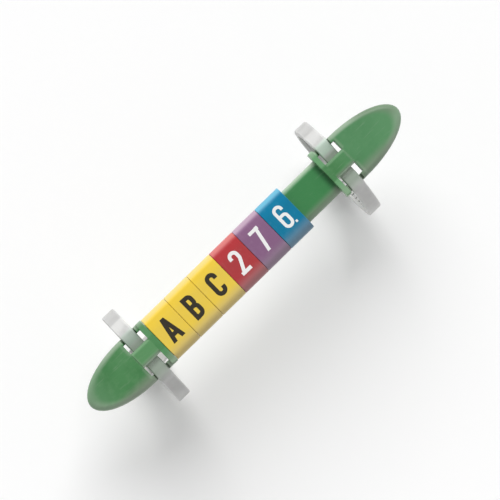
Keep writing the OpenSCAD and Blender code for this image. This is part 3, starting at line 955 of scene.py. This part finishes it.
def strapTree():
    inputs = {"Section": "Object", "Tooth": "Object", "Pitch": "Float", "Teeth": "Int",
              "Skew": "Float", "Material": "Material"}
    tree, net, given = geometryTree("strap", inputs)
    path = net.add("GeometryNodeMeshToCurve", None, {"Mesh": given["Geometry"]})
    path = net.add("GeometryNodeSetCurveNormal", {"mode": "FREE"}, {"Curve": path, "Normal": (1, 0, 0)})
    section = net.add("GeometryNodeObjectInfo", None, {"Object": given["Section"]}, "Geometry")
    band = swept(net, path, roundedCurve(net, section, tieSizes["sectionSteps"]))
    # Teeth at even steps back from the tail; sockets 4 and 5 are the cut's ends as lengths
    length = net.add("GeometryNodeCurveLength", None, {"Curve": path})
    first = length - given["Pitch"] * given["Teeth"]
    toothed = net.add("GeometryNodeTrimCurve", {"mode": "LENGTH"},
                      {"Curve": path, 4: first, 5: length - given["Pitch"]})
    points = net.add("GeometryNodeResampleCurve", {"mode": "COUNT"},
                     {"Curve": toothed, "Count": given["Teeth"]})
    tangent = net.add("GeometryNodeInputTangent")
    turn = net.add("FunctionNodeAxesToRotation", {"primary_axis": "Z", "secondary_axis": "X"},
                   {"Primary Axis": tangent, "Secondary Axis": (1, 0, 0)})
    tooth = net.add("GeometryNodeObjectInfo", None, {"Object": given["Tooth"]}, "Geometry")
    teeth = net.add("GeometryNodeInstanceOnPoints", None,
                    {"Points": points, "Instance": tooth, "Rotation": turn})
    teeth = net.add("GeometryNodeRealizeInstances", None, {"Geometry": teeth})
    toothedBand = booleanOf(net, "UNION", "MANIFOLD", (band, teeth))
    # The strap leans: it shifts along X as it crosses in Y
    across = net.apart(net.add("GeometryNodeInputPosition"))[1]
    shift = net.together(X=across * net.maths("TANGENT", given["Skew"]))
    strap = net.add("GeometryNodeSetPosition", None, {"Geometry": toothedBand, "Offset": shift})
    closeTree(net, strap, given["Material"])
    return tree


def pawlOutline(at):  # an arm from the passage's back wall, with two teeth over the tail's own
    size = tieSizes
    hinge = -clampRadius - size["pawlHinge"]
    wall = at["backY"] + size["intoWall"]
    front, frontDown = size["pawlFront"]
    back, backDown = size["pawlBack"]
    floor = at["teethY"] - size["channel"]
    biting = floor + size["pawlTip"]
    valley = floor + size["toothHeight"] + size["pawlValley"]
    pitch = size["toothPitch"]
    half = size["toothHalf"] * pitch
    caught = math.ceil((size["tail"] + size["pawlAbove"] - half) / pitch)
    tip = at["tailZ"] + caught * pitch + half + size["pawlPlay"]
    return [
        (wall, hinge),
        (at["teethY"] + front, hinge - frontDown),
        (valley, tip + pitch + size["pawlSlope"]),
        (biting, tip + pitch),
        (valley, tip + pitch),
        (biting, tip),
        (at["teethY"] + size["pawlHeel"], tip),
        (at["backY"] - back, hinge - backDown),
        (wall, hinge - size["pawlUnder"]),
    ]


def makeHead(at):  # a block with rounded edges, the strap's passage cut through it, and the pawl
    size = tieSizes
    half = size["headLength"] / 2
    radius = size["headRadius"]
    past = size["cutPast"]
    top = -clampRadius - size["headGap"]
    low = at["headZ"]
    outline = [(half, top), (-half, top)]
    for y, start in ((radius - half, 180), (half - radius, 270)):
        outline += arcPoints(y, low + radius, radius, start, start + 90, size["headSteps"])
    head = prism("head", outline, size["headWidth"] / 2)
    softened(head, size["headEdge"], size["headEdgeSteps"], size["headEdgeAngle"])
    passage = [(at["backY"], low - past), (at["backY"], top + past)]
    passage += [(-half - past, top + past), (-half - past, at["turnZ"])]
    lipRadius = size["bend"] - size["play"]
    passage += arcPoints(at["turnY"], at["turnZ"], lipRadius, 180, 0, size["lipSteps"])
    passage.append((at["passageY"], low - past))
    combined(head, "DIFFERENCE", prism("passage", passage, size["width"] / 2 + size["play"]))
    combined(head, "UNION", prism("pawl", pawlOutline(at), size["pawlWidth"] / 2))
    return head


def makeTies(tree):
    size = tieSizes
    at = tiePlaces()
    path = strapPath(at)
    section = newObject("strap_section", lineMesh("strap_section", [strapOutline()], closed=True))
    tooth = toothBlock()
    leans = {name: math.radians(lean) for name, lean in size["lean"].items()}
    middles = {name: sum(boxOf(name), Vector()).x / 2 for name in leans}
    material = nylonFinish(*[(middles[name], math.tan(leans[name])) for name in leans])
    toothedLength = math.radians(180 - at["leave"] - at["turn"]) * clampRadius + size["headHeight"]
    for name, lean in leans.items():
        inputs = {"Section": section, "Tooth": tooth, "Pitch": size["toothPitch"],
                  "Teeth": round(toothedLength / size["toothPitch"]), "Skew": lean,
                  "Material": material}
        strap = grown(name + "_nylon", tree, [[(0, y, z, 0) for y, z in path]], inputs)
        tidied(strap, size["flat"])
        combined(strap, "UNION", makeHead(at))
        strap.data.transform(Matrix.Translation((middles[name], 0, 0)))
        tidied(strap, size["wholeFlat"])
        finished(strap, material, "carrier", name)
        print(name + ":", len(strap.data.polygons), "faces")
    for helper in (section, tooth):
        bpy.data.objects.remove(helper)


# Stage: what the marker is shown on, from where, and in which light

cameraPlace = {
    "photoTurn": 44.3,  # how far the marker's length is turned up to the right in the picture
    "lean": (-2.3, -1.5),  # how far the camera stands off to +X and +Y, in degrees
    "centre": (0.00172, 0.00015),  # the point of the marker under the picture's middle, in metres
    "widthSeen": 0.081,  # metres across the picture at the sleeves' faces
    "lens": 310,
    "sensor": 36,
    "clip": 0.01,
}

floorLook = {
    "half": 2.0,  # metres
    "gap": 0.0002,  # metres under the lowest point
    "colour": (0.95, 0.95, 0.95, 1),
    "paper": (1.5, 3.0),  # noise
    "roughness": 0.85,
    "roughnessBy": (0.1,),
    "bump": 0.01,
    "shader": {},
}

lightLook = {
    "sunStrength": 2.75,
    "sunAngle": 46,  # degrees across, which softens its shadows
    "sunHeight": 44,  # degrees above the floor
    "sunTurn": 34,  # degrees from +Y round to the pointed end
    "skyLow": 0.85,  # strength at the horizon
    "skyHigh": 0.25,  # and straight above
    "skyRise": (0.1, 0.95),  # where it changes, with 0 at the horizon and 1 straight above
}


def makeCamera():
    look = cameraPlace
    turn = math.radians(look["photoTurn"])
    leanX, leanY = [math.tan(math.radians(angle)) for angle in look["lean"]]
    back = Vector((leanX, leanY, 1)).normalized()
    right = Vector((math.cos(turn), -math.sin(turn), 0))
    right = (right - right.dot(back) * back).normalized()
    up = back.cross(right)
    camera = bpy.data.cameras.new("camera")
    camera.lens = look["lens"]
    camera.sensor_width = look["sensor"]
    camera.clip_start = look["clip"]
    eye = newObject("camera", camera)
    distance = look["widthSeen"] * camera.lens / camera.sensor_width
    spin = Matrix((right, up, back)).transposed().to_4x4()
    target = Vector((*look["centre"], cadBox[1].z))
    eye.matrix_world = Matrix.Translation(target + distance * back) @ spin
    bpy.context.scene.camera = eye
    print("stage: camera", round(distance / toMetres), "mm above the sleeves")


def makeFloor():
    look = floorLook
    half = look["half"]
    z = cadBox[0].z - look["gap"]
    mesh = bpy.data.meshes.new("floor")
    corners = [(-half, -half, z), (half, -half, z), (half, half, z), (-half, half, z)]
    mesh.from_pydata(corners, [], [(0, 1, 2, 3)])
    floor = newObject("floor", mesh)
    material, net = startMaterial("floor")
    paper = noise(net, millimetres(net), *look["paper"])
    roughness = look["roughness"] + weighted(look["roughnessBy"], paper - noiseMean)
    finishMaterial(net, look, look["colour"], roughness, paper)
    mesh.materials.append(material)


def makeSun():  # it stands at the marker's +Y side, a little towards its pointed end
    look = lightLook
    sun = bpy.data.lights.new("key", "SUN")
    sun.energy = look["sunStrength"]
    sun.angle = math.radians(look["sunAngle"])
    lamp = newObject("key", sun)
    height, side = math.radians(look["sunHeight"]), math.radians(look["sunTurn"])
    level = math.cos(height)
    towards = Vector((level * math.sin(side), level * math.cos(side), math.sin(height)))
    lamp.rotation_mode = "QUATERNION"
    lamp.rotation_quaternion = towards.to_track_quat("Z", "Y")


def makeSky():  # white to the camera, and softer for the light that it gives
    look = lightLook
    world = bpy.data.worlds.new("studio")
    world.use_nodes = True
    world.node_tree.nodes.clear()
    net = Net(world.node_tree)
    rise = net.apart(net.add("ShaderNodeTexCoord"))[2]
    sky = net.between(net.ramp(rise, *look["skyRise"]), look["skyLow"], look["skyHigh"])
    seen = net.add("ShaderNodeLightPath", output="Is Camera Ray")
    strength = net.between(seen, sky, 1.0)
    shade = net.add("ShaderNodeBackground", None, {"Color": (1, 1, 1, 1), "Strength": strength})
    net.add("ShaderNodeOutputWorld", None, {"Surface": shade})
    bpy.context.scene.world = world
    bpy.context.scene.view_settings.view_transform = "Standard"


makeCamera()
makeFloor()
makeSun()
makeSky()
makeCarrier()
sleeveNodes = makeSleeves(sleeveTree())
makePrints(printTree(), sleeveNodes)
makeTies(strapTree())
